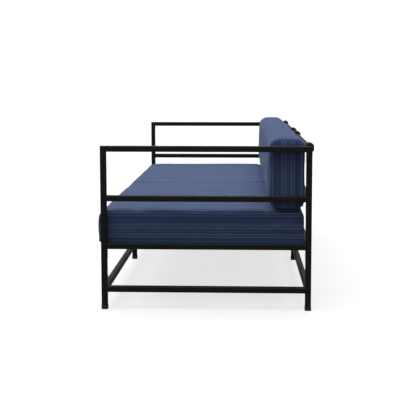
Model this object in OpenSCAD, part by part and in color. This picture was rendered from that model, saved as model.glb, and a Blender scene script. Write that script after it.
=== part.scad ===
// Outdoor daybed sofa: a welded and bolted square-tube frame with two seat cushions
// and two back cushions.  X runs along the length, the sitter faces -Y, Z is up and
// the origin lies on the floor below the middle of the frame.

/* [Overall size] */
// Length of the frame over the end frames
frame_length = 1830; // [1500:10:2100]
// Depth of the frame, front face to rear face
frame_depth = 864; // [800:2:960]
// Height of the arm tops above the floor
arm_height = 678; // [620:2:740]
// Height of the lower arm rail's top face
arm_lower_height = 474; // [450:2:500]
// Height of the seat rails' top face
seat_rail_height = 276; // [250:2:300]
// Height of the foot rails' top face
foot_rail_height = 96; // [60:2:140]

/* [Tube] */
// Outside width of the square tube
tube_width = 24; // [20:1:30]
// Wall of the square tube
tube_wall = 1.5; // [1:0.5:2.5]
// Outside corner radius of the square tube
tube_corner = 3; // [2.5:0.5:4]

/* [Seat deck] */
// Slats on each side of the middle
slats_per_side = 7; // [5:1:10]
// Width of one slat
slat_width = 30; // [20:2:50]
// Height of one slat
slat_height = 12; // [10:1:16]

/* [Cushions] */
// Height of a seat cushion
seat_cushion_height = 133; // [110:1:150]
// How far the seat cushions stand proud of the frame's front face
seat_overhang = 8; // [0:1:20]
// Height of a back cushion
back_cushion_height = 300; // [240:5:360]
// Thickness of a back cushion
back_cushion_depth = 137; // [110:1:160]
// Edge radius of the seat cushions
seat_edge_radius = 22; // [10:1:35]
// Edge radius of the back cushions
back_edge_radius = 18; // [10:1:35]
// Thickness of the cover and the wadding sewn to it
cover_thickness = 4; // [2:1:8]
// Space between the cover's inside and the foam core
core_clearance = 12; // [4:1:16]

/* [Straps] */
// Width of a hook-and-loop strap
strap_width = 38; // [25:1:50]
// Thickness of the strap webbing
strap_thickness = 2.2; // [1.5:0.1:3]
// Distance of the inner straps from the middle
inner_strap_x = 137; // [80:1:300]
// Distance of the outer straps from the middle
outer_strap_x = 868; // [500:1:868]

/* [Hidden] */
$fn = 48;
half_length = frame_length / 2;
half_depth = frame_depth / 2;
inner_x = half_length - tube_width;
inner_y = half_depth - tube_width;
tube_mid = tube_width / 2;

cap_floor = 4;
cap_height = 16;
cap_wall = 1;
cap_fit = 0.1;
leg_bottom = cap_floor;
middle_leg_top = seat_rail_height - tube_width;

plate_thickness = 3;
plate_length = 44;
plate_edge = 18;
middle_plate_length = 70;
plate_bolt_x = 25;
bolt_radius = 3;
bolt_hole_radius = 3.3;
bolt_head_radius = 5.25;
bolt_head_height = 3.3;
bolt_socket_radius = 2.3;
bolt_socket_depth = 2;
bolt_length = 16;
short_bolt_length = plate_thickness + tube_mid - 2;
nut_radius = 4.45;
nut_hole_radius = 4.5;
nut_bore_radius = 3.05;
nut_length = 12;
short_nut_length = tube_mid - 2;

slat_wall = 1.2;
slat_corner = 2;

side_gap = 6;
middle_gap = 1.5;
rest_gap = 1;
seat_rear_gap = 4;
back_rear_gap = 6;
seat_front_y = -half_depth - seat_overhang;
seat_rear_y = inner_y - seat_rear_gap;
seat_bottom_z = seat_rail_height + rest_gap;
seat_top_z = seat_bottom_z + seat_cushion_height;
back_rear_y = inner_y - back_rear_gap;
back_front_y = back_rear_y - back_cushion_depth;
back_bottom_z = seat_top_z + rest_gap;
cushion_length = inner_x - side_gap - middle_gap;

zip_gap = 0.3;
zip_thickness = 1;
zip_width = 26;
zip_end_margin = 70;
slider_length = 14;
slider_width = 9;
slider_thickness = 2.2;
pull_length = 22;
pull_width = 5;
pull_thickness = 1.2;
seat_zip_z = seat_bottom_z + seat_cushion_height / 2;
back_zip_z = back_bottom_z + 30;

strap_gap = 0.4;
strap_slack_up = 12;
strap_slack_back = 5.4;
strap_corner = 5;

frame_black = [0.07, 0.07, 0.075];
cap_black = [0.03, 0.03, 0.03];
bolt_black = [0.12, 0.12, 0.12];
navy = [0.17, 0.23, 0.36];
foam_cream = [0.93, 0.89, 0.74];
zip_navy = [0.1, 0.13, 0.22];
webbing_black = [0.05, 0.05, 0.05];
zinc = [0.75, 0.75, 0.7];

LEFT = 1;
RIGHT = -1;
FRONT = -1;
REAR = 1;

// Heights at which a front or a rear end leg takes a bolt from the long rails.
function plate_low(rail_top) = rail_top - tube_width - plate_length;
function bolt_z_below(rail_top) = plate_low(rail_top) + plate_edge;
stretcher_bolt_z = foot_rail_height + plate_length - plate_edge;
front_bolt_heights = [bolt_z_below(seat_rail_height), stretcher_bolt_z];
rear_bolt_heights = [
    bolt_z_below(seat_rail_height), bolt_z_below(arm_lower_height),
    bolt_z_below(arm_height), stretcher_bolt_z
];

// ---------------------------------------------------------------- profiles
module rounded_rectangle(size, radius) {
    square([size.x - 2 * radius, size.y], center = true);
    square([size.x, size.y - 2 * radius], center = true);
    for (sx = [-1, 1], sy = [-1, 1])
        translate([sx * (size.x / 2 - radius), sy * (size.y / 2 - radius)])
            circle(radius);
}

module hollow_profile(size, wall, radius) {
    difference() {
        rounded_rectangle(size, radius);
        rounded_rectangle([size.x - 2 * wall, size.y - 2 * wall], radius - wall / 2);
    }
}

module square_tube(length) {
    linear_extrude(length)
        hollow_profile([tube_width, tube_width], tube_wall, tube_corner);
}

// A tube whose centre line starts at a point and runs along one axis.
module tube_up(start, length) {
    translate(start) square_tube(length);
}

module tube_right(start, length) {
    translate(start) rotate([0, 90, 0]) square_tube(length);
}

module tube_back(start, length) {
    translate(start) rotate([-90, 0, 0]) square_tube(length);
}

// Half space above a 45 degree plane through the inside corner of an arm.
module above_mitre(end) {
    reach = 3 * tube_width;
    translate([0, end * inner_y, arm_height - tube_width])
        rotate([end * 45, 0, 0])
            translate([-half_length * 2, -reach, 0])
                cube([half_length * 4, 2 * reach, reach]);
}

module below_mitre(end) {
    reach = 3 * tube_width;
    translate([0, end * inner_y, arm_height - tube_width])
        rotate([end * 45, 0, 0])
            translate([-half_length * 2, -reach, -reach])
                cube([half_length * 4, 2 * reach, reach]);
}

// ---------------------------------------------------------------- end frames
module nut_hole_x(x, y, z, towards) {
    translate([x, y, z]) rotate([0, towards * 90, 0])
        translate([0, 0, -tube_mid]) cylinder(r = nut_hole_radius, h = tube_mid + 1);
}

module end_leg(side, end) {
    heights = end == FRONT ? front_bolt_heights : rear_bolt_heights;
    leg_x = side * (half_length - tube_mid);
    leg_y = end * (half_depth - tube_mid);
    color(frame_black)
        difference() {
            tube_up([leg_x, leg_y, leg_bottom], arm_height - leg_bottom);
            above_mitre(end);
            for (z = heights)
                nut_hole_x(side * inner_x, leg_y, z, -side);
        }
}

module arm_top_rail(side) {
    color(frame_black)
        difference() {
            tube_back([side * (half_length - tube_mid), -half_depth, arm_height - tube_mid],
                      frame_depth);
            below_mitre(FRONT);
            below_mitre(REAR);
        }
}

module end_cross_rail(side, top_z) {
    color(frame_black)
        tube_back([side * (half_length - tube_mid), -inner_y, top_z - tube_mid], 2 * inner_y);
}

// ---------------------------------------------------------------- long rails
module long_rail(y, top_z) {
    length = 2 * (inner_x - plate_thickness);
    color(frame_black) tube_right([-length / 2, y, top_z - tube_mid], length);
}

// A seat rail also takes the bolts of the middle leg from below, and the rear one
// takes the bolts of the back post from above.
module seat_rail(end) {
    y = end * (half_depth - tube_mid);
    color(frame_black)
        difference() {
            long_rail(y, seat_rail_height);
            for (x = [-plate_bolt_x, plate_bolt_x])
                translate([x, y, seat_rail_height - tube_width - 1])
                    cylinder(r = nut_hole_radius, h = tube_mid);
            if (end == REAR)
                for (x = [-plate_bolt_x, plate_bolt_x])
                    translate([x, y, seat_rail_height - tube_mid + 1])
                        cylinder(r = nut_hole_radius, h = tube_mid);
        }
}

module stretcher(side, end) {
    length = inner_x - tube_mid - 2 * plate_thickness;
    low_x = side > 0 ? tube_mid + plate_thickness : -inner_x + plate_thickness;
    color(frame_black)
        tube_right([low_x, end * (half_depth - tube_mid), foot_rail_height - tube_mid], length);
}

// Plate welded to a rail's end and bolted to a leg's face.
module end_plate(low_x, y, low_z, bolt_z) {
    difference() {
        translate([low_x, y - tube_mid, low_z])
            cube([plate_thickness, tube_width, plate_length + tube_width]);
        translate([low_x - 1, y, bolt_z]) rotate([0, 90, 0])
            cylinder(r = bolt_hole_radius, h = plate_thickness + 2);
    }
}

module rail_end_plates() {
    front_y = -half_depth + tube_mid;
    rear_y = half_depth - tube_mid;
    color(frame_black)
        for (side = [LEFT, RIGHT]) {
            end_x = side > 0 ? inner_x - plate_thickness : -inner_x;
            middle_x = side > 0 ? tube_mid : -tube_mid - plate_thickness;
            end_plate(end_x, front_y, plate_low(seat_rail_height), bolt_z_below(seat_rail_height));
            for (top_z = [seat_rail_height, arm_lower_height, arm_height])
                end_plate(end_x, rear_y, plate_low(top_z), bolt_z_below(top_z));
            for (x = [end_x, middle_x], y = [front_y, rear_y])
                end_plate(x, y, foot_rail_height - tube_width, stretcher_bolt_z);
        }
}

// ---------------------------------------------------------------- middle trestle and back posts
module middle_leg(end) {
    y = end * (half_depth - tube_mid);
    color(frame_black)
        difference() {
            tube_up([0, y, leg_bottom], middle_leg_top - plate_thickness - leg_bottom);
            for (side = [LEFT, RIGHT])
                nut_hole_x(side * tube_mid, y, stretcher_bolt_z, side);
        }
}

module middle_cross_rail(top_z) {
    color(frame_black) tube_back([0, -inner_y, top_z - tube_mid], 2 * inner_y);
}

module back_post(low_z, high_z) {
    color(frame_black) tube_up([0, half_depth - tube_mid, low_z], high_z - low_z);
}

// Plate welded across the end of an upright tube and bolted to a seat rail.
module bolt_plate(y, low_z) {
    difference() {
        translate([-middle_plate_length / 2, y - tube_mid, low_z])
            cube([middle_plate_length, tube_width, plate_thickness]);
        for (x = [-plate_bolt_x, plate_bolt_x])
            translate([x, y, low_z - 1])
                cylinder(r = bolt_hole_radius, h = plate_thickness + 2);
    }
}

module middle_plates() {
    color(frame_black) {
        for (end = [FRONT, REAR])
            bolt_plate(end * (half_depth - tube_mid), middle_leg_top - plate_thickness);
        bolt_plate(half_depth - tube_mid, seat_rail_height);
    }
}

// ---------------------------------------------------------------- seat deck
module slats(side) {
    bay = (inner_x - tube_mid) / (slats_per_side + 1);
    color(frame_black)
        for (i = [1:slats_per_side])
            translate([side * (tube_mid + i * bay), -inner_y, seat_rail_height - slat_height / 2])
                rotate([-90, 0, 0])
                    linear_extrude(2 * inner_y)
                        hollow_profile([slat_width, slat_height], slat_wall, slat_corner);
}

// ---------------------------------------------------------------- feet
module foot_cap(x, y) {
    outer = tube_width + 2 * cap_wall;
    pocket = tube_width + 2 * cap_fit;
    color(cap_black)
        translate([x, y, 0])
            difference() {
                linear_extrude(cap_height)
                    rounded_rectangle([outer, outer], tube_corner + cap_wall);
                translate([0, 0, cap_floor])
                    linear_extrude(cap_height)
                        rounded_rectangle([pocket, pocket], tube_corner + cap_fit);
            }
}

module end_foot(side, end) {
    foot_cap(side * (half_length - tube_mid), end * (half_depth - tube_mid));
}

// ---------------------------------------------------------------- fasteners
// Button-head bolt: the head's underside at the origin, its shank along +Z.
module bolt(length) {
    difference() {
        translate([0, 0, -bolt_head_height]) cylinder(r = bolt_head_radius, h = bolt_head_height);
        translate([0, 0, -bolt_head_height - 1])
            cylinder(r = bolt_socket_radius, h = bolt_socket_depth + 1, $fn = 6);
    }
    cylinder(r = bolt_radius, h = length);
}

module nut(length) {
    difference() {
        cylinder(r = nut_radius, h = length);
        translate([0, 0, -1]) cylinder(r = nut_bore_radius, h = length + 2);
    }
}

// Placements of the fasteners: the child stands a plate's thickness in front of the
// tube's face, or on the face itself, and points into the tube.
module at_end_leg(side, end, z, ahead) {
    translate([side * (inner_x - ahead), end * (half_depth - tube_mid), z])
        rotate([0, side * 90, 0]) children();
}

module at_end_legs(ahead) {
    for (side = [LEFT, RIGHT]) {
        for (z = front_bolt_heights) at_end_leg(side, FRONT, z, ahead) children();
        for (z = rear_bolt_heights) at_end_leg(side, REAR, z, ahead) children();
    }
}

module at_middle_legs(ahead) {
    for (side = [LEFT, RIGHT], end = [FRONT, REAR])
        translate([side * (tube_mid + ahead), end * (half_depth - tube_mid), stretcher_bolt_z])
            rotate([0, -side * 90, 0]) children();
}

module at_seat_rails(ahead) {
    for (x = [-plate_bolt_x, plate_bolt_x]) {
        for (end = [FRONT, REAR])
            translate([x, end * (half_depth - tube_mid), middle_leg_top - ahead]) children();
        translate([x, half_depth - tube_mid, seat_rail_height + ahead])
            rotate([180, 0, 0]) children();
    }
}

module frame_bolts() {
    color(bolt_black) at_end_legs(plate_thickness) bolt(bolt_length);
}

module middle_bolts() {
    color(bolt_black) {
        at_middle_legs(plate_thickness) bolt(short_bolt_length);
        at_seat_rails(plate_thickness) bolt(short_bolt_length);
    }
}

module insert_nuts() {
    color(zinc) {
        at_end_legs(0) nut(nut_length);
        at_middle_legs(0) nut(short_nut_length);
        at_seat_rails(0) nut(short_nut_length);
    }
}

// ---------------------------------------------------------------- cushions
// Box with every edge rounded, made of three crossing rounded plates.
module soft_block(low, high, radius) {
    size = high - low;
    translate((low + high) / 2)
        intersection() {
            linear_extrude(size.z, center = true)
                rounded_rectangle([size.x, size.y], radius);
            rotate([90, 0, 0]) linear_extrude(size.y, center = true)
                rounded_rectangle([size.x, size.z], radius);
            rotate([0, 90, 0]) linear_extrude(size.x, center = true)
                rounded_rectangle([size.z, size.y], radius);
        }
}

module cover(low, high, radius) {
    skin = [cover_thickness, cover_thickness, cover_thickness];
    color(navy)
        difference() {
            soft_block(low, high, radius);
            soft_block(low + skin, high - skin, radius - cover_thickness / 2);
        }
}

module foam_core(low, high, radius) {
    inset = cover_thickness + core_clearance;
    margin = [inset, inset, inset];
    color(foam_cream) soft_block(low + margin, high - margin, radius / 2);
}

function cushion_low_x(side) = side > 0 ? middle_gap : -middle_gap - cushion_length;
function seat_low(side) = [cushion_low_x(side), seat_front_y, seat_bottom_z];
function seat_high(side) = [cushion_low_x(side) + cushion_length, seat_rear_y, seat_top_z];
function back_low(side) = [cushion_low_x(side), back_front_y, back_bottom_z];
function back_high(side) =
    [cushion_low_x(side) + cushion_length, back_rear_y, back_bottom_z + back_cushion_height];

module seat_cover(side) cover(seat_low(side), seat_high(side), seat_edge_radius);
module seat_foam(side) foam_core(seat_low(side), seat_high(side), seat_edge_radius);
module back_cover(side) cover(back_low(side), back_high(side), back_edge_radius);
module back_foam(side) foam_core(back_low(side), back_high(side), back_edge_radius);

// Zip tape and coil along the cushion's rear face.
module zip_strip(side, rear_y, z) {
    length = cushion_length - 2 * zip_end_margin;
    color(zip_navy)
        translate([cushion_low_x(side) + zip_end_margin, rear_y + zip_gap, z - zip_width / 2])
            cube([length, zip_thickness, zip_width]);
}

// Slider and its pull, parked at the zip's outer end.
module zip_slider(side, rear_y, z) {
    closed_x = side * (middle_gap + cushion_length - zip_end_margin - slider_length);
    y = rear_y + 2 * zip_gap + zip_thickness;
    color(bolt_black) {
        translate([closed_x - slider_length / 2, y, z - slider_width / 2])
            cube([slider_length, slider_thickness, slider_width]);
        translate([closed_x - pull_width / 2, y, z - slider_width / 2 - pull_length])
            cube([pull_width, pull_thickness, pull_length]);
    }
}

// ---------------------------------------------------------------- straps
// Hook-and-loop strap round the back's top rail, with slack above and behind it.
module strap(x) {
    front_y = inner_y - strap_gap - strap_thickness;
    rear_y = half_depth + strap_slack_back + strap_gap + strap_thickness;
    low_z = arm_height - tube_width - strap_gap - strap_thickness;
    high_z = arm_height + strap_slack_up + strap_thickness;
    size = [high_z - low_z, rear_y - front_y];
    color(webbing_black)
        translate([x - strap_width / 2, (front_y + rear_y) / 2, (low_z + high_z) / 2])
            rotate([0, 90, 0]) linear_extrude(strap_width)
                difference() {
                    rounded_rectangle(size, strap_corner);
                    rounded_rectangle([size.x - 2 * strap_thickness, size.y - 2 * strap_thickness],
                                      strap_corner - strap_thickness);
                }
}

end_leg(LEFT, FRONT);  // left_front_leg
end_leg(LEFT, REAR);  // left_rear_leg
arm_top_rail(LEFT);  // left_arm_top_rail
end_cross_rail(LEFT, arm_lower_height);  // left_arm_lower_rail
end_cross_rail(LEFT, seat_rail_height);  // left_seat_end_rail
end_cross_rail(LEFT, foot_rail_height);  // left_foot_rail
end_leg(RIGHT, FRONT);  // right_front_leg
end_leg(RIGHT, REAR);  // right_rear_leg
arm_top_rail(RIGHT);  // right_arm_top_rail
end_cross_rail(RIGHT, arm_lower_height);  // right_arm_lower_rail
end_cross_rail(RIGHT, seat_rail_height);  // right_seat_end_rail
end_cross_rail(RIGHT, foot_rail_height);  // right_foot_rail
seat_rail(FRONT);  // front_seat_rail
seat_rail(REAR);  // rear_seat_rail
long_rail(half_depth - tube_mid, arm_lower_height);  // back_lower_rail
long_rail(half_depth - tube_mid, arm_height);  // back_top_rail
back_post(seat_rail_height + plate_thickness, arm_lower_height - tube_width);  // back_post_lower
back_post(arm_lower_height, arm_height - tube_width);  // back_post_upper
middle_leg(FRONT);  // middle_front_leg
middle_leg(REAR);  // middle_rear_leg
middle_cross_rail(seat_rail_height);  // middle_seat_rail
middle_cross_rail(foot_rail_height);  // middle_foot_rail
stretcher(LEFT, FRONT);  // front_stretcher_left
stretcher(RIGHT, FRONT);  // front_stretcher_right
stretcher(LEFT, REAR);  // rear_stretcher_left
stretcher(RIGHT, REAR);  // rear_stretcher_right
slats(LEFT);  // seat_slats_left
slats(RIGHT);  // seat_slats_right
end_foot(LEFT, FRONT);  // left_front_foot
end_foot(LEFT, REAR);  // left_rear_foot
end_foot(RIGHT, FRONT);  // right_front_foot
end_foot(RIGHT, REAR);  // right_rear_foot
foot_cap(0, -half_depth + tube_mid);  // middle_front_foot
foot_cap(0, half_depth - tube_mid);  // middle_rear_foot
rail_end_plates();
middle_plates();
frame_bolts();
middle_bolts();
insert_nuts();
seat_cover(LEFT);  // seat_cover_left
seat_foam(LEFT);  // seat_foam_left
zip_strip(LEFT, seat_rear_y, seat_zip_z);  // seat_zip_left
zip_slider(LEFT, seat_rear_y, seat_zip_z);  // seat_zip_slider_left
seat_cover(RIGHT);  // seat_cover_right
seat_foam(RIGHT);  // seat_foam_right
zip_strip(RIGHT, seat_rear_y, seat_zip_z);  // seat_zip_right
zip_slider(RIGHT, seat_rear_y, seat_zip_z);  // seat_zip_slider_right
back_cover(LEFT);  // back_cover_left
back_foam(LEFT);  // back_foam_left
zip_strip(LEFT, back_rear_y, back_zip_z);  // back_zip_left
zip_slider(LEFT, back_rear_y, back_zip_z);  // back_zip_slider_left
back_cover(RIGHT);  // back_cover_right
back_foam(RIGHT);  // back_foam_right
zip_strip(RIGHT, back_rear_y, back_zip_z);  // back_zip_right
zip_slider(RIGHT, back_rear_y, back_zip_z);  // back_zip_slider_right
strap(outer_strap_x);  // strap_outer_left
strap(inner_strap_x);  // strap_inner_left
strap(-inner_strap_x);  // strap_inner_right
strap(-outer_strap_x);  // strap_outer_right
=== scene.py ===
"""Looks of the outdoor daybed sofa: striped box cushions on a welded black tube frame."""

import logging
import math
from dataclasses import dataclass, field
from enum import Enum
from typing import Iterator, Sequence, Union

import bpy
import numpy as np
from mathutils import Matrix, Vector


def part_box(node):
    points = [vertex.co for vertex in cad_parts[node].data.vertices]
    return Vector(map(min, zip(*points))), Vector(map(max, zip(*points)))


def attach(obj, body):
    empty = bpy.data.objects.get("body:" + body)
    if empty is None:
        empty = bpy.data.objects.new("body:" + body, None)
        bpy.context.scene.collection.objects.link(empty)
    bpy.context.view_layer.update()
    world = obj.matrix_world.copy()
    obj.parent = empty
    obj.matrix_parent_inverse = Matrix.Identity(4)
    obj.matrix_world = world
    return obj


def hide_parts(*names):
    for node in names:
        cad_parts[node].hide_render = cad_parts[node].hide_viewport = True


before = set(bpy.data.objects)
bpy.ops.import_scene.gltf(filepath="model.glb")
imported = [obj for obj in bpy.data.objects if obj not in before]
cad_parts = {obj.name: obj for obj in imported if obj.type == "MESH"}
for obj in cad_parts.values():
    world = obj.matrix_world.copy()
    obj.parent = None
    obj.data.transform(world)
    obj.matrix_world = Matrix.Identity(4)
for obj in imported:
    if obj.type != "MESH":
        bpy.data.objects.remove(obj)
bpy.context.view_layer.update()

MM = 0.001
LOG = logging.getLogger("daybed")

Colour = tuple[float, float, float]
Source = Union[float, bpy.types.NodeSocket]


# ------------------------------------------------------------------ editing
def deselect() -> None:
    """Leaves object mode ready, with nothing selected."""
    if bpy.context.object and bpy.context.object.mode != "OBJECT":
        bpy.ops.object.mode_set(mode="OBJECT")
    bpy.ops.object.select_all(action="DESELECT")


def activate(piece: bpy.types.Object) -> None:
    """Makes one piece the only selected and active object."""
    deselect()
    piece.select_set(True)
    bpy.context.view_layer.objects.active = piece


def settle(piece: bpy.types.Object, name: str) -> bpy.types.Object:
    """Names a piece and moves its place, turn and size into its mesh.

    Args:
        piece: The object to settle.
        name: The name that it is listed under.

    Returns:
        The same object, at the origin, unturned and unscaled.
    """
    activate(piece)
    piece.name = name
    piece.data.name = name
    bpy.ops.object.transform_apply(location=True, rotation=True, scale=True)
    return piece


def apply_modifiers(piece: bpy.types.Object) -> None:
    """Applies every modifier of a piece, from the first to the last."""
    activate(piece)
    for modifier in list(piece.modifiers):
        bpy.ops.object.modifier_apply(modifier=modifier.name)


def join(pieces: Sequence[bpy.types.Object], name: str) -> bpy.types.Object:
    """Joins pieces into one object.

    Args:
        pieces: The objects to join; the first one stays.
        name: The joined object's name.

    Returns:
        The joined object.
    """
    deselect()
    for piece in pieces:
        piece.select_set(True)
    bpy.context.view_layer.objects.active = pieces[0]
    bpy.ops.object.join()
    return settle(bpy.context.object, name)


def copy_of(piece: bpy.types.Object, matrix: Matrix) -> bpy.types.Object:
    """A copy of a piece with its own mesh, turned and moved by a matrix."""
    twin = piece.copy()
    twin.data = piece.data.copy()
    twin.data.transform(matrix)
    bpy.context.collection.objects.link(twin)
    return twin


def points_of(mesh: bpy.types.Mesh) -> np.ndarray:
    """The mesh's vertex positions as rows of x, y, z."""
    flat = np.empty(len(mesh.vertices) * 3)
    mesh.vertices.foreach_get("co", flat)
    return flat.reshape(-1, 3)


def set_points(mesh: bpy.types.Mesh, points: np.ndarray) -> None:
    """Writes vertex positions back to a mesh."""
    mesh.vertices.foreach_set("co", points.reshape(-1))
    mesh.update()


def face_outwards(piece: bpy.types.Object) -> None:
    """Merges doubled points and turns every face outwards."""
    activate(piece)
    bpy.ops.object.mode_set(mode="EDIT")
    bpy.ops.mesh.select_all(action="SELECT")
    bpy.ops.mesh.remove_doubles(threshold=0.01 * MM)
    bpy.ops.mesh.normals_make_consistent(inside=False)
    bpy.ops.object.mode_set(mode="OBJECT")


def smooth(piece: bpy.types.Object, degrees: float = 35.0) -> None:
    """Shades a piece smooth, but keeps edges sharper than an angle."""
    activate(piece)
    bpy.ops.object.shade_smooth_by_angle(angle=math.radians(degrees))


def bevelled_bar(name: str, size: Sequence[float], offset: float, segments: int) -> bpy.types.Object:
    """Makes a bar at the origin with all its edges bevelled.

    Args:
        name: The bar's name.
        size: Its size along X, Y and Z.
        offset: How wide the bevel is.
        segments: How many steps the bevel has.

    Returns:
        The bar.
    """
    deselect()
    bpy.ops.mesh.primitive_cube_add(size=1.0, scale=size)
    bar = settle(bpy.context.object, name)
    bpy.ops.object.mode_set(mode="EDIT")
    bpy.ops.mesh.select_all(action="SELECT")
    bpy.ops.mesh.bevel(offset=offset, segments=segments)
    bpy.ops.object.mode_set(mode="OBJECT")
    return bar


def choose(piece: bpy.types.Object, sort: str, chosen: Sequence[bool]) -> None:
    """Enters edit mode on the active piece with only some edges or faces selected.

    Args:
        piece: The active piece.
        sort: EDGE or FACE.
        chosen: Whether each edge or face is selected.
    """
    bpy.ops.object.mode_set(mode="EDIT")
    bpy.ops.mesh.select_mode(type=sort)
    bpy.ops.mesh.select_all(action="DESELECT")
    bpy.ops.object.mode_set(mode="OBJECT")
    parts = piece.data.edges if sort == "EDGE" else piece.data.polygons
    parts.foreach_set("select", chosen)
    bpy.ops.object.mode_set(mode="EDIT")


def repeat_along_x(piece: bpy.types.Object, count: int, pitch: float) -> None:
    """Repeats a piece along X inside its own mesh."""
    repeat = piece.modifiers.new("repeat", "ARRAY")
    repeat.use_relative_offset = False
    repeat.use_constant_offset = True
    repeat.constant_offset_displace = (pitch, 0.0, 0.0)
    repeat.count = count
    apply_modifiers(piece)


def soften(piece: bpy.types.Object, width: float, segments: int, degrees: float) -> None:
    """Bevels the edges that are sharper than an angle, and applies every modifier."""
    bevel = piece.modifiers.new("soften", "BEVEL")
    bevel.width = width
    bevel.segments = segments
    bevel.angle_limit = math.radians(degrees)
    apply_modifiers(piece)


def face_corners(mesh: bpy.types.Mesh) -> np.ndarray:
    """The number of the vertex at each corner of each face."""
    corners = np.empty(len(mesh.loops), dtype=np.int64)
    mesh.loops.foreach_get("vertex_index", corners)
    return corners


def map_cloth(mesh: bpy.types.Mesh, across: np.ndarray, along: np.ndarray) -> None:
    """Writes the cloth's map by face corner: across the yarn in u and along it in v, in metres."""
    layer = mesh.uv_layers.get("cloth") or mesh.uv_layers.new(name="cloth")
    layer.data.foreach_set("uv", np.stack((across, along), axis=1).reshape(-1))


def map_strip(piece: bpy.types.Object) -> None:
    """Maps a flat strip whose yarn runs along X and is crossed by Z."""
    place = points_of(piece.data)[face_corners(piece.data)]
    map_cloth(piece.data, place[:, 2], place[:, 0])


# ----------------------------------------------------------------- measures
def ramp(value: np.ndarray, start: float, end: float) -> np.ndarray:
    """A smooth step that goes from 0 at start to 1 at end."""
    part = np.clip((value - start) / (end - start), 0.0, 1.0)
    return part * part * (3.0 - 2.0 * part)


def within(value: np.ndarray, low: float, high: float, fade: tuple[float, float]) -> np.ndarray:
    """How nearly each value lies between two limits.

    Args:
        value: The values.
        low: The lower limit.
        high: The upper limit.
        fade: How far past a limit the result is 0, and how far past it the result is still 1.

    Returns:
        A share from 0 to 1 for each value.
    """
    far, near = fade
    return ramp(value, low - far, low - near) * ramp(-value, -high - far, -high - near)


def middle(low: Vector, high: Vector) -> Vector:
    """The middle of a box."""
    return (low + high) / 2.0


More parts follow.
